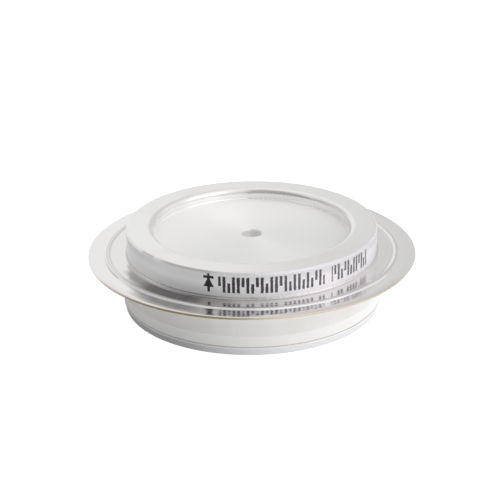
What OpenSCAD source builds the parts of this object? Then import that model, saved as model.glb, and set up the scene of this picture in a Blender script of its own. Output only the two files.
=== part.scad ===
// Disc rectifier diode in a ceramic press-pack capsule.
// It stands on the rim of its anode pole, centred on the Z axis, with the cathode end up.

/* [Weld flange] */
// Distance from the bead's middle out to the trimmed rim of the two flange sheets
flange_margin = 3.4; // [2.5:0.1:8]
// Distance from the cathode pole's wall out to the middle of the bead in the lid sheet
bead_gap = 3.45; // [2.5:0.05:5]
// Thickness of each flange sheet
sheet_t = 0.2; // [0.15:0.05:0.4]
// Width of the bead where it rises from the lap
bead_w = 1.3; // [0.8:0.1:1.6]
// Height of the bead above the lap
bead_h = 0.25; // [0.2:0.05:0.45]
// Height that the lid sheet is lifted inside the bead, which lets the lid flex
lid_lift = 0.1; // [0.05:0.05:0.2]
// Radius that rounds the upper and the lower edge of the trimmed rim
trim_r = 0.1; // [0.05:0.05:0.15]

/* [Cathode pole] */
// Diameter of the pole piece above the flange, from which the flange and the ceramic are set out
pole_d = 44.3; // [41:0.1:60]
// Height of the pole's rim above the lid sheet
pole_rise = 4.6; // [3.5:0.05:8]
// Depth of the cathode contact face below the pole's rim
contact_depth = 1.9; // [1.4:0.05:2.5]
// Radius that rounds the pole's outer top edge
pole_edge_r = 0.4; // [0.2:0.05:1.1]
// Radius that rounds the mouth of the contact recess
mouth_r = 1.05; // [0.3:0.05:1.15]
// Height of the pole below the lid sheet, down to the silicon stack
cathode_block_h = 1.6; // [1.4:0.1:2.4]
// Height of the spigot that fills the hole of the lid sheet, below the sheet
spigot_h = 0.8; // [0.4:0.1:1.2]
// Diameter of that spigot
spigot_d = 32; // [29:0.5:34]

/* [Anode pole] */
// Distance that the anode pole's rim stays back from the outside of the ceramic
base_setback = 0.25; // [0.05:0.05:1]
// Thickness of that rim
base_rim_t = 1.1; // [1:0.1:3]
// Depth of the anode contact face below the rim
base_depth = 0.8; // [0.7:0.1:1]
// Radius that rounds the rim's lower outer edge
base_edge_r = 0.15; // [0.1:0.05:0.8]
// Radius that rounds the mouth of the recess in the rim
base_mouth_r = 0.3; // [0.1:0.05:0.4]
// Height of the seat that carries the silicon stack above the shoulder for the locating ring
seat_h = 1; // [0.6:0.1:1.4]
// Gap between the anode block and the bore of the ceramic
block_gap = 1.2; // [0.8:0.1:1.8]

/* [Contact faces] */
// Diameter of the contact face at each end
contact_d = 34.6; // [32:0.1:38]
// Radius in the corner between each contact face and the wall of its recess
floor_r = 0.2; // [0.1:0.05:0.3]
// Diameter of the centring hole in each contact face
hole_d = 3.5; // [3:0.1:5]
// Depth of that hole
hole_depth = 2; // [1.5:0.1:2.4]
// Width of the chamfer at the mouth of that hole
hole_chamfer = 0.2; // [0.1:0.05:0.4]

/* [Ceramic ring] */
// Distance that the ceramic stands out beyond the cathode pole's wall
ceramic_overhang = 0.85; // [0.5:0.05:2]
// Wall thickness of the ceramic
ceramic_wall = 3.6; // [2.8:0.1:4.2]
// Height of the ceramic between its two braze joints
ceramic_h = 7.75; // [7:0.05:14]
// Chamfer on the ceramic's edges
ceramic_chamfer = 0.1; // [0.05:0.05:0.5]
// Thickness of the sealing ring under the ceramic
seal_t = 0.3; // [0.2:0.05:0.6]
// Thickness of each braze joint
braze_t = 0.1; // [0.05:0.01:0.15]
// Distance that a braze joint stays back from the edges of its faces
braze_inset = 0.1; // [0.05:0.05:0.8]
// Leg of the braze fillets at the foot of each pole
fillet = 0.3; // [0.2:0.05:0.8]

/* [Silicon stack] */
// Diameter of the silicon wafer and of the molybdenum disc that it is alloyed to
wafer_d = 30; // [27:0.5:31]
// Thickness of the wafer
wafer_t = 0.4; // [0.3:0.05:0.6]
// Width of the bevel ground on the wafer's edge
wafer_bevel = 0.6; // [0.3:0.1:0.8]
// Thickness of the anode molybdenum disc
anode_disc_t = 1.6; // [1:0.1:2.2]
// Thickness of the cathode molybdenum disc
cathode_disc_t = 0.8; // [0.5:0.1:1.5]
// Distance from the wafer's edge in to the edge of the cathode disc
cathode_setback = 2; // [1.6:0.1:3.5]
// Thickness of each silver shim
shim_t = 0.2; // [0.1:0.05:0.3]
// Radius of the silicone bead that seals the wafer's edge
edge_seal_r = 0.7; // [0.6:0.05:0.9]
// Clearance round the locating ring and under the silicone bead
ring_gap = 0.15; // [0.05:0.05:0.3]

/* [Hidden] */

// Faces of a full turn and of a small edge arc
$fn = 180;
arc_fn = 48;
// Length by which a cut runs past the face that it opens
past = 1;

// Radii that several pieces share
pole_r = pole_d / 2;
bead_r = pole_r + bead_gap;
flange_r = bead_r + flange_margin;
spigot_r = spigot_d / 2;
contact_r = contact_d / 2;
ceramic_r = pole_r + ceramic_overhang;
base_r = ceramic_r - base_setback;
ceramic_bore_r = ceramic_r - ceramic_wall;
joint_in_r = ceramic_bore_r + braze_inset;
joint_out_r = ceramic_r - braze_inset;
block_r = ceramic_bore_r - block_gap;
wafer_r = wafer_d / 2;
cathode_r = wafer_r - cathode_setback;

// Levels, from the plane that the capsule stands on up to the cathode rim
seal_z = base_rim_t + braze_t;
ceramic_z = seal_z + seal_t + braze_t;
housing_z = ceramic_z + ceramic_h + braze_t;
lap_z = housing_z + sheet_t;
lid_z = lap_z + lid_lift;
foot_z = lid_z + sheet_t;
pole_top = foot_z + pole_rise;
contact_z = pole_top - contact_depth;

// Levels of the silicon stack, from the cathode pole down
cathode_shim_z = lid_z - cathode_block_h - shim_t;
cathode_disc_z = cathode_shim_z - cathode_disc_t;
wafer_z = cathode_disc_z - wafer_t;
anode_disc_z = wafer_z - anode_disc_t;
anode_shim_z = anode_disc_z - shim_t;
shoulder_z = anode_shim_z - seat_h;
edge_seal_z = wafer_z + wafer_t / 2;
ring_top = edge_seal_z - edge_seal_r - ring_gap;

// Radius of the bead's outer arc, from its width and height, and the level of its centre
bead_arc_r = (pow(bead_w / 2, 2) + pow(bead_h, 2)) / (2 * bead_h);
bead_arc_z = lap_z + sheet_t + bead_h - bead_arc_r;

// A flat ring, from one radius to another, standing on a level
module washer(inner_r, outer_r, z, thickness) {
    rotate_extrude() translate([inner_r, z]) square([outer_r - inner_r, thickness]);
}

// A disc on the axis, standing on a level
module disc(r, z, thickness) {
    translate([0, 0, z]) cylinder(r = r, h = thickness);
}

// What a rounded convex corner loses, for a corner at the origin with its solid at lower left
module corner_round(r) {
    difference() {
        translate([-r, -r]) square(r + past);
        translate([-r, -r]) circle(r = r, $fn = arc_fn);
    }
}

// Concave fillet of braze metal in the corner between a wall and the floor at the origin
module fillet_profile(leg) {
    // Distance of the arc's centre from the wall and from the floor
    hollow = 1.6 * leg;
    difference() {
        square(leg);
        translate([hollow, hollow])
            circle(r = norm([hollow, hollow - leg]), $fn = arc_fn);
    }
}

// Centring hole with a chamfered mouth, drilled down from the origin
module centring_hole() {
    translate([0, 0, -hole_depth]) cylinder(d = hole_d, h = hole_depth + past);
    translate([0, 0, -hole_chamfer])
        cylinder(d1 = hole_d, d2 = hole_d + 2 * hole_chamfer, h = hole_chamfer);
}

// Half section of a contact recess cut down from the origin, with its mouth and floor corner
module recess_profile(depth, mouth) {
    difference() {
        translate([0, -depth]) square([contact_r, depth + past]);
        translate([contact_r, -depth]) mirror([0, 1]) corner_round(floor_r);
    }
    translate([contact_r, 0]) mirror([1, 0]) corner_round(mouth);
}

// Half section of the cathode pole: rim, recessed contact face, spigot and stack face
module cathode_profile() {
    rim_z = foot_z + braze_t;
    difference() {
        union() {
            translate([0, rim_z]) square([pole_r, pole_top - rim_z]);
            translate([0, lid_z - spigot_h]) square([spigot_r, rim_z - lid_z + spigot_h]);
            translate([0, lid_z - cathode_block_h]) square([cathode_r, cathode_block_h]);
        }
        translate([pole_r, pole_top]) corner_round(pole_edge_r);
        translate([0, pole_top]) recess_profile(contact_depth, mouth_r);
    }
}

module cathode_pole() {
    color("gainsboro") difference() {
        rotate_extrude() cathode_profile();
        translate([0, 0, contact_z]) centring_hole();
    }
}

// Half section of the anode pole: rim, recessed contact face, block and stack seat
module anode_profile() {
    difference() {
        union() {
            square([base_r, base_rim_t]);
            square([block_r, shoulder_z]);
            square([wafer_r, anode_shim_z]);
        }
        translate([base_r, 0]) mirror([0, 1]) corner_round(base_edge_r);
        mirror([0, 1]) recess_profile(base_depth, base_mouth_r);
    }
}

module anode_pole() {
    color("lightgray") difference() {
        rotate_extrude() anode_profile();
        translate([0, 0, base_depth]) mirror([0, 0, 1]) centring_hole();
    }
}

// Braze between the anode rim and the sealing ring, with its fillet against the block
module base_braze_ring() {
    color("darkkhaki") union() {
        washer(block_r, base_r - braze_inset, base_rim_t, braze_t);
        washer(block_r, block_r + braze_t, base_rim_t, braze_t + seal_t);
        rotate_extrude() translate([block_r, seal_z + seal_t]) fillet_profile(fillet);
    }
}

module seal_ring() {
    color("silver") washer(block_r + braze_t, ceramic_r, seal_z, seal_t);
}

module seal_braze_ring() {
    color("darkkhaki") washer(joint_in_r, joint_out_r, seal_z + seal_t, braze_t);
}

// Alumina tube with chamfered edges
module ceramic_ring() {
    c = ceramic_chamfer;
    color("white") rotate_extrude() translate([ceramic_bore_r, ceramic_z]) polygon([
        [c, 0], [ceramic_wall - c, 0], [ceramic_wall, c], [ceramic_wall, ceramic_h - c],
        [ceramic_wall - c, ceramic_h], [c, ceramic_h], [0, ceramic_h - c], [0, c]
    ]);
}

module flange_braze_ring() {
    color("darkkhaki") washer(joint_in_r, joint_out_r, housing_z - braze_t, braze_t);
}

// Lower sheet of the weld flange, brazed to the ceramic
module housing_flange() {
    color("silver") difference() {
        washer(joint_in_r, flange_r, housing_z, sheet_t);
        rotate_extrude() translate([flange_r, housing_z]) mirror([0, 1]) corner_round(trim_r);
    }
}

// Half section of the upper sheet: flat lap, pressed bead and lifted centre
module lid_profile() {
    difference() {
        union() {
            translate([bead_r, lap_z]) square([flange_r - bead_r, sheet_t]);
            translate([spigot_r + braze_t, lid_z])
                square([bead_r - spigot_r - braze_t, sheet_t]);
            intersection() {
                translate([bead_r, bead_arc_z]) circle(r = bead_arc_r, $fn = arc_fn);
                translate([bead_r - bead_w, lap_z]) square([2 * bead_w, sheet_t + bead_h]);
            }
        }
        translate([bead_r, bead_arc_z]) circle(r = bead_arc_r - sheet_t, $fn = arc_fn);
        translate([flange_r, lap_z + sheet_t]) corner_round(trim_r);
    }
}

module lid_flange() {
    color("silver") rotate_extrude() lid_profile();
}

// Braze between the lid sheet and the cathode pole, with the fillet that shows at its foot
module lid_braze_ring() {
    color("darkkhaki") union() {
        washer(spigot_r, pole_r, foot_z, braze_t);
        washer(spigot_r, spigot_r + braze_t, lid_z, sheet_t + braze_t);
        rotate_extrude() translate([pole_r, foot_z]) fillet_profile(fillet);
    }
}

module anode_shim() {
    color("whitesmoke") disc(wafer_r, anode_shim_z, shim_t);
}

module anode_disc() {
    color("dimgray") disc(wafer_r, anode_disc_z, anode_disc_t);
}

// Wafer with the bevel ground on its edge
module silicon_wafer() {
    color("slategray") translate([0, 0, wafer_z])
        cylinder(r1 = wafer_r, r2 = wafer_r - wafer_bevel, h = wafer_t);
}

// Half section of the silicone bead, less the disc and the bevelled wafer that it is cast on
module edge_seal_profile() {
    wafer_top = wafer_z + wafer_t;
    difference() {
        translate([wafer_r - wafer_bevel / 2, edge_seal_z])
            circle(r = edge_seal_r, $fn = arc_fn);
        polygon([
            [0, anode_shim_z], [wafer_r, anode_shim_z], [wafer_r, wafer_z],
            [wafer_r - wafer_bevel, wafer_top], [0, wafer_top]
        ]);
    }
}

module edge_seal() {
    color("firebrick") rotate_extrude() edge_seal_profile();
}

module cathode_disc() {
    color("dimgray") disc(cathode_r, cathode_disc_z, cathode_disc_t);
}

module cathode_shim() {
    color("whitesmoke") disc(cathode_r, cathode_shim_z, shim_t);
}

// Ring that centres the silicon stack in the bore of the ceramic
module locating_ring() {
    color("ivory")
        washer(wafer_r + ring_gap, ceramic_bore_r - ring_gap, shoulder_z, ring_top - shoulder_z);
}

anode_pole();
base_braze_ring();
seal_ring();
seal_braze_ring();
ceramic_ring();
flange_braze_ring();
housing_flange();
lid_flange();
lid_braze_ring();
cathode_pole();
anode_shim();
anode_disc();
silicon_wafer();
edge_seal();
cathode_disc();
cathode_shim();
locating_ring();
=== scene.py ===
import math

import bpy
from mathutils import Matrix, Vector


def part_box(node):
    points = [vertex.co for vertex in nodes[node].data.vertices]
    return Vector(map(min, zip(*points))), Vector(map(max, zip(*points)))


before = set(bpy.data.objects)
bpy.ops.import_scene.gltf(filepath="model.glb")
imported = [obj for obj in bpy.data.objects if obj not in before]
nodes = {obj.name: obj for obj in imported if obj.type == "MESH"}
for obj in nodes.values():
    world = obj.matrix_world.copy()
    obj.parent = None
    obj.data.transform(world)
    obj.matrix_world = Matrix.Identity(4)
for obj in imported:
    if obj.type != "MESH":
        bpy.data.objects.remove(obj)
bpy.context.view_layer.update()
mm = 0.001

# measured places on the capsule in mm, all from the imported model
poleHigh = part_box("cathode_pole")[1]
poleTop, wallRadius = poleHigh.z / mm, poleHigh.x / mm
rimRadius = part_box("lid_flange")[1].x / mm
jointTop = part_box("lid_braze_ring")[1].z / mm
ceramicFoot, ceramicTop = (corner.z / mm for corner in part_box("ceramic_ring"))


class Field:
    # a value that varies over a surface, and adds, multiplies and compares like a number
    def __init__(self, shade, socket):
        self.shade = shade
        self.socket = socket

    def maths(self, operation, *others):
        return self.shade.maths(operation, self, *others)

    def __add__(self, other):
        return self.maths("ADD", other)

    def __sub__(self, other):
        return self.maths("SUBTRACT", other)

    def __mul__(self, other):
        return self.maths("MULTIPLY", other)

    def __truediv__(self, other):
        return self.maths("DIVIDE", other)

    def __lt__(self, other):
        return self.maths("LESS_THAN", other)

    def __gt__(self, other):
        return self.maths("GREATER_THAN", other)

    def __rsub__(self, other):
        return self.shade.maths("SUBTRACT", other, self)

    def __rtruediv__(self, other):
        return self.shade.maths("DIVIDE", other, self)

    __radd__ = __add__
    __rmul__ = __mul__


class Shade:
    # one node tree, with a single method that adds any node to it
    def __init__(self, tree):
        self.tree = tree
        self.tree.nodes.clear()

    def node(self, kind, settings=None, inputs=None, output=0):
        made = self.tree.nodes.new(kind)
        for name, value in (settings or {}).items():
            setattr(made, name, value)
        for key, value in (inputs or {}).items():
            if isinstance(value, Field):
                self.tree.links.new(value.socket, made.inputs[key])
            elif isinstance(value, tuple) and made.inputs[key].type == "RGBA":
                made.inputs[key].default_value = (*value, 1)
            else:
                made.inputs[key].default_value = value
        return Field(self, made.outputs[output]) if len(made.outputs) else None

    def maths(self, operation, *values):
        return self.node("ShaderNodeMath", {"operation": operation}, dict(enumerate(values)))

    def vector(self, operation, *values, output=0):
        return self.node("ShaderNodeVectorMath", {"operation": operation},
                         dict(enumerate(values)), output)

    def step(self, value, low, high, first=0.0, last=1.0):
        # eases from first to last as value goes from low to high
        return self.node("ShaderNodeMapRange", {"interpolation_type": "SMOOTHSTEP"},
                         {0: value, 1: low, 2: high, 3: first, 4: last})

    def within(self, value, middle, full, gone, ragged=None):
        # 1 as far as full from the middle, easing to 0 at gone
        away = (value - middle).maths("ABSOLUTE")
        if ragged:
            away = away + ragged
        return self.step(away, full, gone, 1.0, 0.0)

    def blend(self, amount, first, second):
        # the first colour where amount is 0, the second where it is 1
        return self.node("ShaderNodeMix", {"data_type": "RGBA"},
                         {0: amount, 6: first, 7: second}, 2)

    def noise(self, place, scale, detail=2.0, rough=0.5):
        return self.node("ShaderNodeTexNoise", None,
                         {"Vector": place, "Scale": scale, "Detail": detail, "Roughness": rough})


class Finish(Shade):
    # a material whose values can depend on the place on the capsule, in millimetres
    def __init__(self, name):
        self.material = bpy.data.materials.new(name)
        self.material.use_nodes = True
        super().__init__(self.material.node_tree)
        self.place = self.node("ShaderNodeTexCoord", output="Object")
        axes = [self.node("ShaderNodeSeparateXYZ", None, {0: self.place}, i) for i in range(3)]
        self.x, self.y, self.z = [axis / mm for axis in axes]
        self.radius = (self.x * self.x + self.y * self.y).maths("SQRT")
        # the turn round the axis is 0 at the front, + to the right, and jumps at the back, where
        # its sine and cosine don't: aside is -1 at the left end and 1 at the right end
        self.turn = self.maths("ARCTAN2", self.x, self.y * -1)
        self.aside = self.turn.maths("SINE")
        self.front = self.turn.maths("COSINE")

    def drawnOut(self, outwards, around, upwards, detail, rough):
        # noise that is drawn out round the axis, as turning and pressing leave it
        place = self.node("ShaderNodeCombineXYZ", None,
                          {0: self.radius * outwards, 1: self.aside * around,
                           2: self.z * upwards + self.front * around})
        return self.noise(place, 1.0, detail, rough)

    def surface(self, height, depth, **sockets):
        # height is the relief and depth how far it stands up, in metres
        sockets["Normal"] = self.node("ShaderNodeBump", None,
                                      {"Height": height, "Strength": 1.0, "Distance": depth})
        named = {key.replace("_", " "): value for key, value in sockets.items()}
        shader = self.node("ShaderNodeBsdfPrincipled", None, named)
        self.node("ShaderNodeOutputMaterial", None, {"Surface": shader})
        return self.material


def between(value, low, high):
    return (value > low) * (value < high)


def swing(noise, amount):
    # the noise about its middle
    return (noise - 0.5) * amount


def dress(material, *names):
    for name in names:
        nodes[name].data.materials.clear()
        nodes[name].data.materials.append(material)


# In the dictionaries below, lengths and radii are in mm, turns in degrees round from the front,
# and what ends in Aside is a span of the turn's sine. Clouds are the scale, detail and roughness
# of a noise. A pair that ends in From is the noise's level where a second tone starts and is full.

# how far to either side of its two edges a patch of painted shade fades
shadeFade = {"inner": 0.2, "outer": 0.4}


def shadeMask(shade, ragged, middle, full, gone, innerEdge, outerEdge, strength):
    # a patch of painted shade drawn out round the axis, its ends faded and ragged
    angles = [math.radians(angle) for angle in (middle, full, gone)]
    ends = shade.within(shade.turn, *angles, ragged)
    soft = shadeFade["inner"]
    inward = shade.step(shade.radius, innerEdge - soft, innerEdge + soft)
    soft = shadeFade["outer"]
    outward = shade.step(shade.radius, outerEdge - soft, outerEdge + soft, 1.0, 0.0)
    return ends * inward * outward * strength


# nickel plate on the turned cathode pole, with the ink marks on its wall
pole = {
    "nickel": (0.80, 0.795, 0.785),
    "warm": (0.77, 0.755, 0.735),
    "warmFrom": (0.45, 0.8),
    "clouds": (130.0, 3.0, 0.5),
    "grooves": (9.0, 1.2, 9.0, 3.0, 0.6),    # how fast they change outwards, round and upwards
    "uneven": (0.06, 0.04),          # roughness that the grooves and the clouds add
    "relief": (0.6, 0.4),            # and their shares of the relief
    "reliefDepth": 0.000006,         # in metres
    "turnedGrain": 0.7,
    "grainTurn": 0.25,
    "topFace": 0.004,                # below the highest point, what still counts as the flat top
    "topRoughness": 0.26,
    "filletLeg": 0.3,                # braze that stands above the lid sheet

    # the wall: its painted shade is given by the heights above the lid sheet where it starts and
    # is full, and how much
    "wall": (0.94, 0.935, 0.935),
    # painted light: the wall a little lighter and lilac toward the right, where the light falls
    "litLilac": (0.975, 0.945, 0.98),
    "litLilacAside": (-0.39, 0.48),
    "wallDepth": 0.45,               # its rounded edges included
    "wallRoughness": 0.44,
    "wallMetal": 0.60,
    "wallShadeTone": (0.55, 0.545, 0.55),
    "wallShade": (2.2, 3.8, 0.45),
    # more painted shade at the left, where the light is weak
    "leftWallShade": (0.4, 2.2, 0.32),
    "leftAside": (-0.89, -0.56),
    "leftShadeLift": (0.5, 0.2, 0.8),     # below the top, where the painted shade lifts at the left, and how much

    # the recess: radii of its contact face, of its bore and of its rounded mouth
    "recess": (17.2, 17.33, 18.4),
    "mouthRoughness": 0.28,
    "boreRoughness": 0.10,
    "boreMetal": 0.95,
    "contactRoughness": 0.55,
    "contactMetal": 0.55,            # the rest of its look is a matte one
    "ground": (0.97, 0.96, 0.955),
    # painted shade: the contact face darker toward its near right side
    "contactShade": (0.85, 0.845, 0.84),  # the near right side of the contact face
    "contactShadeSpan": (-12.0, 14.0),    # towards that side
    "contactShadeSlant": 0.6,             # what a mm to the right counts for against one to the front
    "contactShadeBlur": 4.0,

    # two dark rubs on the recess's near edge, then two marks that draw a dark line on the front
    # left edge, partly wear and partly painted dark reflection
    # from, to, radius, half width and strength, then where their sides and ends fade
    "scuffsAndEdgeShade": ((49.6, 59.0, 17.75, 0.12, 0.8), (36.2, 37.4, 17.9, 0.14, 0.8),
               (-57.0, -48.0, 22.0, 0.13, 0.5), (-43.0, -16.0, 22.0, 0.14, 0.6)),
    "scuffAndShadeTone": (0.40, 0.385, 0.37),
    "scuffSides": (0.4, 1.6),        # in half widths
    "scuffEnds": (0.7, 1.2),         # in half lengths
    "scuffDepth": 0.5,               # below the top

    "signInk": (0.012, 0.010, 0.014),
    "ink": (0.045, 0.041, 0.050),
    "inkAside": (-0.28, -0.255),     # between the sign and the bars
    "litInk": (0.14, 0.133, 0.15),  # painted light: the ink lighter to the right, where the light falls
    "litInkAside": (0.0, 0.35),
    "inkRoughness": 0.55,
    "inkLow": 1.02,                  # above the lid sheet
    "inkHeight": 2.82,
    "inkDepth": 0.02,                # in from the wall
    "inkClear": 0.4,                 # below the top, free of ink
    "fray": (2600.0, 1.0),           # the noise that frays the ink's edges
    "frayed": 0.2,
    "groups": ((-14.5, 32.7), (36.5, 62.0)),
    "barOrigin": 200.0,              # left of the front, where the bars are counted from
    "barPitch": 0.78,
    "barWidths": (0.49, 0.43),       # at the left and to the right
    "widthAside": (-0.1, 0.4),
    "barKind": 0.618,                # what each bar adds to the fraction that tells its kind
    "barKinds": (0.26, 0.78),        # top cut below the first, foot cut above the second
    "barCut": 0.4,                   # of the height
    "sign": {
        "turn": -18.75,
        "height": 3.5,
        "levels": (0.23, 0.66, 0.75),    # triangle's foot, cross bar, triangle's tip in heights
        "lineHalf": 0.22,
        "lineDrop": 0.1,
        "barHalf": 0.88,
        "barDepth": 0.46,
        "slope": 0.49,
        "frayed": 0.6,                   # share of the bars' fray
    },
}
lidTop = jointTop - pole["filletLeg"]


def polaritySign(across, up):
    # an upright line, a triangle pointing up and the bar that it touches
    sign = pole["sign"]
    foot, level, tip = (sign["height"] * share for share in sign["levels"])
    side = across.maths("ABSOLUTE")
    drop = sign["lineDrop"]
    line = (side < sign["lineHalf"]) * between(up, -drop, sign["height"] - drop)
    bar = (side < sign["barHalf"]) * between(up, level, level + sign["barDepth"])
    triangle = (side < (tip - up) * sign["slope"]) * between(up, foot, level)
    return line.maths("MAXIMUM", bar).maths("MAXIMUM", triangle)


def inkMask(shade):
    # two groups of upright bars, some cut at the top or the foot, and a plain sign before them
    along = shade.turn * wallRadius
    up = shade.z - (lidTop + pole["inkLow"])
    frayed = shade.noise(shade.place, *pole["fray"]) * pole["frayed"] - pole["frayed"] / 2
    cell = (along + pole["barOrigin"]) / pole["barPitch"]
    index = cell.maths("FLOOR")
    across = (cell - index - 0.5).maths("ABSOLUTE") * pole["barPitch"] + frayed
    kind = (index * pole["barKind"]).maths("FRACT")
    cutTop, cutFoot = pole["barKinds"]
    low = (kind > cutFoot) * pole["inkHeight"] * pole["barCut"]
    high = pole["inkHeight"] * (1 - (kind < cutTop) * pole["barCut"])
    width = shade.step(shade.aside, *pole["widthAside"], *pole["barWidths"])
    bars = (across < width / 2) * between(up + frayed, low, high)
    inside = 0.0
    for first, last in pole["groups"]:
        start, end = math.radians(first) * wallRadius, math.radians(last) * wallRadius
        inside = between(along, start, end) + inside
    middle = math.radians(pole["sign"]["turn"]) * wallRadius
    sign = polaritySign(along - middle + frayed * pole["sign"]["frayed"], up)
    onWall = ((shade.radius > wallRadius - pole["inkDepth"])
              * (shade.z < poleTop - pole["inkClear"]))
    return (bars * inside).maths("MAXIMUM", sign) * onWall


def scuffAndShadeMask(shade):
    # dark rubs on the near edge of the recess, and a dark line on the wall's front left edge that
    # is partly wear and partly painted dark reflection
    rubbed = 0.0
    for first, last, ring, half, strength in pole["scuffsAndEdgeShade"]:
        middle, reach = math.radians((first + last) / 2), math.radians((last - first) / 2)
        band = shade.within(shade.radius, ring, *(half * share for share in pole["scuffSides"]))
        ends = shade.within(shade.turn, middle, *(reach * share for share in pole["scuffEnds"]))
        rubbed = band * ends * strength + rubbed
    return rubbed * (shade.z > poleTop - pole["scuffDepth"])


def wallToneAndShade(shade):
    # the wall's tone, painted lighter and lilac toward the right, under painted shade on its upper
    # part that is stronger at the left
    tint = shade.blend(shade.step(shade.aside, *pole["litLilacAside"]), pole["wall"], pole["litLilac"])
    up = shade.z - lidTop
    start, full, strength = pole["wallShade"]
    wallShade = shade.step(up, start, full) * strength
    left = shade.step(shade.aside, *pole["leftAside"], 1.0, 0.0)
    start, full, strength = pole["leftWallShade"]
    wallShade = wallShade + shade.step(up, start, full) * left * strength
    start, full, lift = pole["leftShadeLift"]
    wallShade = wallShade * (1 - shade.step(shade.z, poleTop - start, poleTop - full) * left * lift)
    return shade.blend(wallShade, tint, pole["wallShadeTone"])


def cathodeNickel():
    shade = Finish("nickelCathode")
    contactRadius, boreRadius, mouthRadius = pole["recess"]
    top = shade.z > poleTop - pole["topFace"]
    outside = shade.radius > wallRadius - pole["wallDepth"]
    recess = (shade.radius < boreRadius) * (shade.z > lidTop)
    bore = recess * (shade.radius > contactRadius)
    contact = recess - bore
    mouth = between(shade.radius, boreRadius, mouthRadius)
    grooves = shade.drawnOut(*pole["grooves"])
    cloud = shade.noise(shade.place, *pole["clouds"])
    ink = inkMask(shade)
    tint = shade.blend(shade.step(cloud, *pole["warmFrom"]), pole["nickel"], pole["warm"])
    tint = shade.blend(outside * (1 - top), tint, wallToneAndShade(shade))
    # painted shade on the near right side of the contact face
    slanted = shade.x * pole["contactShadeSlant"] - shade.y + cloud * pole["contactShadeBlur"]
    ground = shade.blend(shade.step(slanted, *pole["contactShadeSpan"]), pole["ground"],
                         pole["contactShade"])
    tint = shade.blend(recess, tint, ground)
    tint = shade.blend(bore, tint, pole["ground"])
    tint = shade.blend(scuffAndShadeMask(shade), tint, pole["scuffAndShadeTone"])
    dye = shade.blend(shade.step(shade.aside, *pole["inkAside"]), pole["signInk"], pole["ink"])
    dye = shade.blend(shade.step(shade.aside, *pole["litInkAside"]), dye, pole["litInk"])
    colour = shade.blend(ink, tint, dye)
    below = (outside * pole["wallRoughness"] + mouth * pole["mouthRoughness"]
             + contact * pole["contactRoughness"] + bore * pole["boreRoughness"])
    rough = top * pole["topRoughness"] + (1 - top) * below
    byGrooves, byClouds = pole["uneven"]
    rough = rough + swing(grooves, byGrooves) + swing(cloud, byClouds)
    rough = rough * (1 - ink) + ink * pole["inkRoughness"]
    metal = (1 - contact * (1 - pole["contactMetal"]) - bore * (1 - pole["boreMetal"])
             - outside * (1 - top) * (1 - pole["wallMetal"]))
    grooveShare, cloudShare = pole["relief"]
    return shade.surface(grooves * grooveShare + cloud * cloudShare, pole["reliefDepth"],
                         Base_Color=colour, Metallic=metal * (1 - ink), Roughness=rough,
                         Anisotropic=pole["turnedGrain"], Anisotropic_Rotation=pole["grainTurn"])


# bright plated sheet of the weld flange: satin where the weld tool pressed it outside the bead,
# rubbed dull on the bead, and tarnished and trimmed to bare copper at the front of its rim;
# patches of painted shade darken it at the front left
sheet = {
    "plate": (0.76, 0.75, 0.74),
    "weld": (0.80, 0.79, 0.785),
    "rubbed": (0.66, 0.655, 0.65),
    "bead": (25.6, 0.65),            # radius and half width
    "rubbedRing": (25.7, 0.08, 0.24),    # radius, then half widths where it is full and gone
    "clouds": (190.0, 3.0, 0.6),
    "waves": (2.2, 2.0, 2.0, 2.0, 0.5),
    "relief": (0.8, 0.2),            # shares of the waves and the clouds
    "reliefDepth": 0.00004,          # in metres
    "roughness": 0.16,
    "pressed": 0.17,
    "uneven": (0.06, 0.2, 0.2),      # what the clouds, the rubbed ring and the trim add to it

    "trimWidth": 0.03,
    "copper": (0.58, 0.50, 0.44),
    "oxide": (0.22, 0.19, 0.12),
    "oxidised": (-24.0, 9.0, 38.0),  # middle, and half widths where it is full and gone
    "tarnish": (0.70, 0.63, 0.56),
    "tarnished": (0.40, 0.62),       # the turn's cosine where the front of the rim sets in
    "tarnishWidth": 1.8,
    "tarnishFrom": (0.3, 0.7, 0.4, 1.0),     # and how much of it there is then
    "tarnishShares": (0.6, 2.0),     # of the strip and of the lip
    "lip": (0.45, 1.3),              # strip of the edge that bends down, and how far, in reliefs
    "droop": (1.4, 3.4),             # the same for the wider strip right of the front
    "droopAside": (-0.12, 0.16),

    # patches of painted shade at the front left: middle, half widths where it is full and gone,
    # inner and outer radius, and strength
    "paintedShades": (
        (-35.0, 8.5, 19.0, 22.9, 25.3, 1.0),
        (-54.0, 3.0, 15.0, 22.9, 24.5, 0.44),
        (-18.0, 4.0, 16.0, 22.0, 25.0, 0.42),
        (-26.0, 20.0, 38.0, 25.4, 26.4, 0.40),
        (-32.0, 6.0, 18.0, 26.2, 28.0, 0.60),
        (-26.0, 1.0, 4.0, 26.2, 28.0, 0.35),
    ),
    "paintedShade": (0.205, 0.197, 0.197),
    "ragged": 0.25,
}


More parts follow.
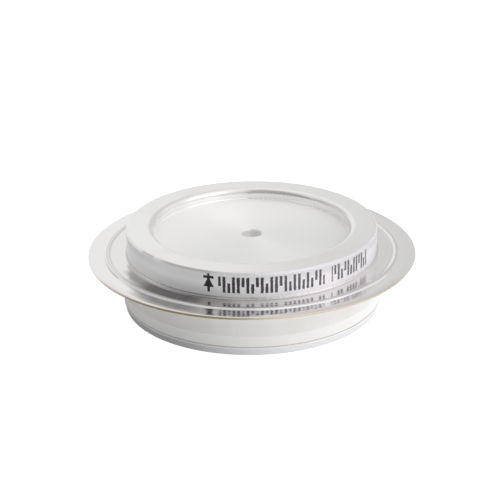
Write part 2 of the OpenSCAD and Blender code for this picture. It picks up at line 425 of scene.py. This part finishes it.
def sheetMetal():
    shade = Finish("platedSheet")
    beadRadius, half = sheet["bead"]
    trimWidth = sheet["trimWidth"]
    trim = shade.step(shade.radius, rimRadius - trimWidth, rimRadius - trimWidth / 2)
    pressed = shade.step(shade.radius, beadRadius, beadRadius + half)
    crest = shade.within(shade.radius, *sheet["rubbedRing"])
    cloud = shade.noise(shade.place, *sheet["clouds"])
    tint = shade.blend(pressed, sheet["plate"], sheet["weld"])
    tint = shade.blend(crest, tint, sheet["rubbed"])
    lipWidth, lipDrop = sheet["lip"]
    lip = shade.step(shade.radius, rimRadius - lipWidth, rimRadius)
    near = shade.step(shade.front, *sheet["tarnished"])
    strip = (shade.step(shade.radius, rimRadius - sheet["tarnishWidth"], rimRadius)
             * shade.step(cloud, *sheet["tarnishFrom"]))
    ofStrip, ofLip = sheet["tarnishShares"]
    tarnish = (strip * ofStrip).maths("MAXIMUM", lip * ofLip) * near
    tint = shade.blend(tarnish, tint, sheet["tarnish"])
    ragged = swing(cloud, sheet["ragged"])
    # painted shade on the annuli at the front left
    for paintedShade in sheet["paintedShades"]:
        tint = shade.blend(shadeMask(shade, ragged, *paintedShade), tint, sheet["paintedShade"])
    dulled = shade.within(shade.turn, *(math.radians(angle) for angle in sheet["oxidised"]))
    bare = shade.blend(dulled, sheet["copper"], sheet["oxide"])
    colour = shade.blend(trim * near, tint, bare)
    byClouds, byCrest, byTrim = sheet["uneven"]
    rough = shade.step(pressed, 0.0, 1.0, sheet["roughness"], sheet["pressed"])
    rough = rough + swing(cloud, byClouds) + crest * byCrest + trim * byTrim
    droopWidth, droopDrop = sheet["droop"]
    droop = (shade.step(shade.radius, rimRadius - droopWidth, rimRadius)
             * shade.step(shade.aside, *sheet["droopAside"]))
    waveShare, cloudShare = sheet["relief"]
    relief = shade.drawnOut(*sheet["waves"]) * waveShare + cloud * cloudShare
    return shade.surface(relief - lip * lipDrop - droop * droopDrop, sheet["reliefDepth"],
                         Base_Color=colour, Metallic=1.0, Roughness=rough)


# the sealing ring under the ceramic, whose edge is plated satin
seal = {
    "tone": (0.86, 0.85, 0.84),
    "second": (0.78, 0.77, 0.76),
    "secondFrom": (0.45, 0.75),
    "clouds": (240.0, 3.0, 0.55),
    "metal": 0.4,
    "roughness": 0.45,
    "uneven": 0.1,
    "reliefDepth": 0.00001,
}


def sealMetal():
    shade = Finish("satinSeal")
    cloud = shade.noise(shade.place, *seal["clouds"])
    colour = shade.blend(shade.step(cloud, *seal["secondFrom"]), seal["tone"], seal["second"])
    rough = seal["roughness"] + swing(cloud, seal["uneven"])
    return shade.surface(cloud, seal["reliefDepth"], Base_Color=colour, Metallic=seal["metal"],
                         Roughness=rough)


# silver-copper braze: bright, slightly pitted where it froze, with painted shade on the fillet at
# the front left
braze = {
    "metal": (0.62, 0.61, 0.60),
    "dark": (0.50, 0.485, 0.47),
    "darkFrom": (0.52, 0.75),
    "clouds": (1400.0, 3.0, 0.6),
    "shadedBraze": (0.26, 0.24, 0.25),
    "paintedShade": (-29.0, 6.0, 22.0, 22.0, 22.8, 0.8),    # as the sheet's patches of painted shade
    "shadeHeight": -0.05,            # above the lid sheet, where it starts
    "ragged": 0.3,
    "roughness": 0.30,
    "uneven": 0.2,
    "reliefDepth": 0.00001,
}


def brazeMetal():
    shade = Finish("brazeMetal")
    frozen = shade.noise(shade.place, *braze["clouds"])
    colour = shade.blend(shade.step(frozen, *braze["darkFrom"]), braze["metal"], braze["dark"])
    # painted shade on the fillet at the front left
    shadedBraze = (shadeMask(shade, swing(frozen, braze["ragged"]), *braze["paintedShade"])
             * (shade.z > lidTop + braze["shadeHeight"]))
    colour = shade.blend(shadedBraze, colour, braze["shadedBraze"])
    rough = braze["roughness"] + swing(frozen, braze["uneven"])
    return shade.surface(frozen, braze["reliefDepth"], Base_Color=colour, Metallic=1.0,
                         Roughness=rough)


# white alumina, glazed on the outside above a bare strip at its foot
ceramic = {
    "body": (0.89, 0.885, 0.88),
    "glazed": (0.79, 0.775, 0.755),
    "glazeStart": (1.83, 2.07),      # above the foot of the tube
    "glazeRadii": (21.5, 22.4),      # where the inside ends and the outside begins
    "glazeFrom": (0.3, 0.7, 0.6, 1.0),       # and how strong it looks then
    "paintedTopLight": (3.6, 6.4, 0.75),    # painted light that fades the glaze tone toward the top: above the foot, where it starts and ends, and how much
    "speck": (0.62, 0.58, 0.52),
    "speckNoise": (2600.0, 1.0),
    "speckFrom": (0.74, 0.80),
    "speckStrength": 0.5,
    "cast": (0.92, 0.87, 0.82),      # warm stain below the braze at its top
    "castDown": (1.9, 0.4, 0.8),     # below the top, where it starts and is full, and how much
    "drift": (120.0, 2.0),           # the noise that moves the glaze's and the stain's edges
    "drifts": (0.25, 0.12),          # by how much, and how much of that is down
    "clouds": (260.0, 4.0, 0.6),
    "roughness": (0.42, 0.16),       # bare and glazed
    "uneven": 0.08,
    "relief": 0.5,                   # share of the clouds and of the glaze
    "reliefDepth": 0.00004,
    "coat": 0.5,
    "coatRoughness": 0.08,
    "bending": 1.62,                 # the glaze's refractive index
}


def alumina():
    shade = Finish("glazedAlumina")
    amount, down = ceramic["drifts"]
    drifted = shade.z + (shade.noise(shade.place, *ceramic["drift"]) * amount - down)
    edge = [ceramicFoot + height for height in ceramic["glazeStart"]]
    glaze = shade.step(drifted, *edge) * shade.step(shade.radius, *ceramic["glazeRadii"])
    cloud = shade.noise(shade.place, *ceramic["clouds"])
    specks = shade.step(shade.noise(shade.place, *ceramic["speckNoise"]), *ceramic["speckFrom"])
    # painted light: the glaze's darker tone fades out toward the top of the tube
    start, end, loss = ceramic["paintedTopLight"]
    glazeToneShare = 1 - loss * shade.step(shade.z - ceramicFoot, start, end)
    tint = shade.blend(glaze * glazeToneShare * shade.step(cloud, *ceramic["glazeFrom"]),
                       ceramic["body"], ceramic["glazed"])
    start, full, strength = ceramic["castDown"]
    cast = shade.step(drifted, ceramicTop - start, ceramicTop - full) * strength
    tint = shade.blend(cast, tint, ceramic["cast"])
    colour = shade.blend(specks * ceramic["speckStrength"], tint, ceramic["speck"])
    rough = shade.step(glaze, 0.0, 1.0, *ceramic["roughness"]) + swing(cloud, ceramic["uneven"])
    share = ceramic["relief"]
    return shade.surface(cloud * share + glaze * share, ceramic["reliefDepth"],
                         Base_Color=colour, Roughness=rough, Coat_Weight=glaze * ceramic["coat"],
                         Coat_Roughness=ceramic["coatRoughness"], IOR=ceramic["bending"])


# nickel plate of the anode pole, satin from handling
base = {
    "nickel": (0.73, 0.735, 0.75),
    "worn": (0.66, 0.66, 0.66),
    "wornFrom": (0.5, 0.78),
    "clouds": (210.0, 3.0, 0.55),
    "grooves": (8.0, 1.4, 8.0, 3.0, 0.6),
    "roughness": 0.28,
    "uneven": (0.12, 0.06),          # roughness that the grooves and the clouds add
    "reliefDepth": 0.000006,
}


def anodeNickel():
    shade = Finish("nickelAnode")
    grooves = shade.drawnOut(*base["grooves"])
    cloud = shade.noise(shade.place, *base["clouds"])
    colour = shade.blend(shade.step(cloud, *base["wornFrom"]), base["nickel"], base["worn"])
    byGrooves, byClouds = base["uneven"]
    rough = base["roughness"] + swing(grooves, byGrooves) + swing(cloud, byClouds)
    return shade.surface(grooves, base["reliefDepth"], Base_Color=colour, Metallic=1.0,
                         Roughness=rough)


# the stack inside, each finish with a grain of two tones, and what all of them share
inner = {
    "silverFoil": {"tone": (0.86, 0.85, 0.82), "second": (0.74, 0.72, 0.68), "grain": 500.0,
                   "roughness": 0.28, "metal": 1.0},
    "molybdenum": {"tone": (0.42, 0.42, 0.43), "second": (0.33, 0.33, 0.34), "grain": 900.0,
                   "roughness": 0.36, "metal": 1.0},
    "silicon": {"tone": (0.30, 0.32, 0.35), "second": (0.26, 0.28, 0.31), "grain": 300.0,
                "roughness": 0.08, "metal": 1.0},
    "siliconeRubber": {"tone": (0.45, 0.12, 0.09), "second": (0.38, 0.09, 0.07), "grain": 400.0,
                       "roughness": 0.5, "metal": 0.0},
    "fluoropolymer": {"tone": (0.88, 0.86, 0.80), "second": (0.83, 0.80, 0.73), "grain": 350.0,
                      "roughness": 0.45, "metal": 0.0},
}
innerGrain = {"detail": 4.0, "rough": 0.6, "secondFrom": (0.35, 0.7), "uneven": 0.12,
              "reliefDepth": 0.00001}


def innerFinish(name):
    values = inner[name]
    shade = Finish(name)
    grain = shade.noise(shade.place, values["grain"], innerGrain["detail"], innerGrain["rough"])
    colour = shade.blend(shade.step(grain, *innerGrain["secondFrom"]), values["tone"],
                         values["second"])
    rough = values["roughness"] + swing(grain, innerGrain["uneven"])
    return shade.surface(grain, innerGrain["reliefDepth"], Base_Color=colour,
                         Metallic=values["metal"], Roughness=rough)


dress(cathodeNickel(), "cathode_pole")
dress(sheetMetal(), "lid_flange", "housing_flange")
dress(sealMetal(), "seal_ring")
dress(brazeMetal(), "lid_braze_ring", "flange_braze_ring", "seal_braze_ring", "base_braze_ring")
dress(alumina(), "ceramic_ring")
dress(anodeNickel(), "anode_pole")
dress(innerFinish("silverFoil"), "anode_shim", "cathode_shim")
dress(innerFinish("molybdenum"), "anode_disc", "cathode_disc")
dress(innerFinish("silicon"), "silicon_wafer")
dress(innerFinish("siliconeRubber"), "edge_seal")
dress(innerFinish("fluoropolymer"), "locating_ring")
print("finishes made for", len(nodes), "pieces")


# white studio with unlit sides, most of all at the left front, as the metal shows them
studio = {
    "fill": 0.94,                    # level of the room as a light, 1 being the white that is seen
    # what each side of the room takes away: turn in degrees round from the front, how far from
    # there it starts to end and ends, elevations over which it sets in, over which it lifts, and
    # what then stays of it
    "sides": (
        {"turn": -62.0, "reach": (25.0, 50.0), "depth": 0.42,
         "height": (2.0, 15.0, 28.0, 40.0, 0.0)},
        {"turn": -115.0, "reach": (15.0, 40.0), "depth": 0.42,
         "height": (2.0, 15.0, 26.0, 36.0, 0.2)},
        {"turn": -36.0, "reach": (35.0, 46.0), "depth": 0.50,
         "height": (-9.0, -5.0, 72.0, 88.0, 0.5)},
        {"turn": 35.0, "reach": (25.0, 60.0), "depth": 0.25,
         "height": (-9.0, -5.0, 26.0, 40.0, 0.0)},
        {"turn": 158.0, "reach": (14.0, 24.0), "depth": 0.23,
         "height": (-9.0, -5.0, 75.0, 90.0, 0.5)},
    ),
    "floorSize": 3.0,                # metres
    "floorTone": (0.4, 0.4, 0.4),
    "floorGlow": 0.88,
    "shadeTurn": 75.0,               # the floor's lit side
    "shadeLine": (-0.012, 0.022),    # metres towards it, from unlit to lit
    "shadeNear": (0.024, 0.060, 0.20, 0.95),     # radii where the unlit side lifts, and its levels
}
white = (1.0, 1.0, 1.0)


def heading(azimuth, elevation):
    a, e = math.radians(azimuth), math.radians(elevation)
    return Vector((math.sin(a) * math.cos(e), -math.cos(a) * math.cos(e), math.sin(e)))


def roomSide(shade, direction, turn, reach, depth, height):
    # what one side of the room leaves of the light that comes from a direction
    level = shade.vector("NORMALIZE", shade.vector("MULTIPLY", direction, (1.0, 1.0, 0.0)))
    toSide = shade.vector("DOT_PRODUCT", level, heading(turn, 0.0), output="Value")
    near, far = (math.cos(math.radians(angle)) for angle in reach)
    up = shade.node("ShaderNodeSeparateXYZ", None, {0: direction}, 2)
    *elevations, kept = height
    low, full, high, clear = (math.sin(math.radians(angle)) for angle in elevations)
    band = shade.step(up, low, full) * shade.step(up, high, clear, 1.0, kept)
    return 1 - shade.step(toSide, far, near) * band * depth


def makeWorld():
    world = bpy.data.worlds.new("studioRoom")
    world.use_nodes = True
    shade = Shade(world.node_tree)
    direct = shade.node("ShaderNodeLightPath", output="Is Camera Ray")
    mirror = shade.node("ShaderNodeLightPath", output="Is Glossy Ray")
    through = shade.node("ShaderNodeLightPath", output="Is Transmission Ray")
    direction = shade.node("ShaderNodeTexCoord", output="Generated")
    room = 1.0
    for side in studio["sides"]:
        room = roomSide(shade, direction, **side) * room
    seen = mirror.maths("MAXIMUM", through)
    level = direct + (1 - direct) * room * (seen + (1 - seen) * studio["fill"])
    light = shade.node("ShaderNodeBackground", None, {"Color": white, "Strength": level})
    shade.node("ShaderNodeOutputWorld", None, {"Surface": light})
    bpy.context.scene.world = world


def makeFloor():
    bpy.ops.mesh.primitive_plane_add(size=studio["floorSize"])
    floor = bpy.context.active_object
    floor.name = "floor"
    material = bpy.data.materials.new("paleFloor")
    material.use_nodes = True
    shade = Shade(material.node_tree)
    direct = shade.node("ShaderNodeLightPath", output="Is Camera Ray")
    place = shade.node("ShaderNodeTexCoord", output="Object")
    across = shade.vector("DOT_PRODUCT", place, heading(studio["shadeTurn"], 0.0),
                          output="Value")
    out = shade.vector("LENGTH", place, output="Value")
    lit = shade.step(across, *studio["shadeLine"])
    unlit = shade.step(out, *studio["shadeNear"])
    level = direct + (1 - direct) * (lit + (1 - lit) * unlit)
    matte = shade.node("ShaderNodeBsdfDiffuse", None, {"Color": studio["floorTone"]})
    glow = shade.node("ShaderNodeEmission", None,
                      {"Color": white, "Strength": level * studio["floorGlow"]})
    both = shade.node("ShaderNodeAddShader", None, {0: matte, 1: glow})
    shade.node("ShaderNodeOutputMaterial", None, {"Surface": both})
    floor.data.materials.append(material)


# lamps in metres and watts: a big soft one at the right front and a weak one overhead
lamps = {
    "sideBox": {"azimuth": 62.0, "elevation": 38.0, "away": 0.55, "size": 0.45, "power": 0.40},
    "topBox": {"azimuth": 170.0, "elevation": 78.0, "away": 0.6, "size": 0.5, "power": 0.12},
}


def makeLamp(name, azimuth, elevation, away, size, power):
    data = bpy.data.lights.new(name, "AREA")
    data.shape, data.size, data.energy = "SQUARE", size, power
    lamp = bpy.data.objects.new(name, data)
    bpy.context.scene.collection.objects.link(lamp)
    lamp.location = heading(azimuth, elevation) * away
    lamp.rotation_euler = heading(azimuth, elevation).to_track_quat("Z", "Y").to_euler()


makeWorld()
makeFloor()
for lampName, lampValues in lamps.items():
    makeLamp(lampName, **lampValues)
print("studio lit")


# the camera, in degrees and metres
camera = {
    "elevation": 22.75,
    "roll": 0.65,
    "away": 0.23983,
    "aimHeight": 0.0095,
    "lens": 96.85,                   # mm, as is the sensor
    "sensor": 36.0,
    "shift": (-0.00358, -0.00142),
    "clipStart": 0.01,
}


def makeCamera():
    data = bpy.data.cameras.new("camera")
    data.lens = camera["lens"]
    data.sensor_width = camera["sensor"]
    data.shift_x, data.shift_y = camera["shift"]
    data.clip_start = camera["clipStart"]
    eye = bpy.data.objects.new("camera", data)
    bpy.context.scene.collection.objects.link(eye)
    back = heading(0.0, camera["elevation"])
    turned = back.to_track_quat("Z", "Y").to_matrix().to_4x4()
    rolled = turned @ Matrix.Rotation(math.radians(-camera["roll"]), 4, "Z")
    stand = Vector((0, 0, camera["aimHeight"])) + back * camera["away"]
    eye.matrix_world = Matrix.Translation(stand) @ rolled
    bpy.context.scene.camera = eye


makeCamera()
bpy.context.scene.view_settings.view_transform = "Standard"
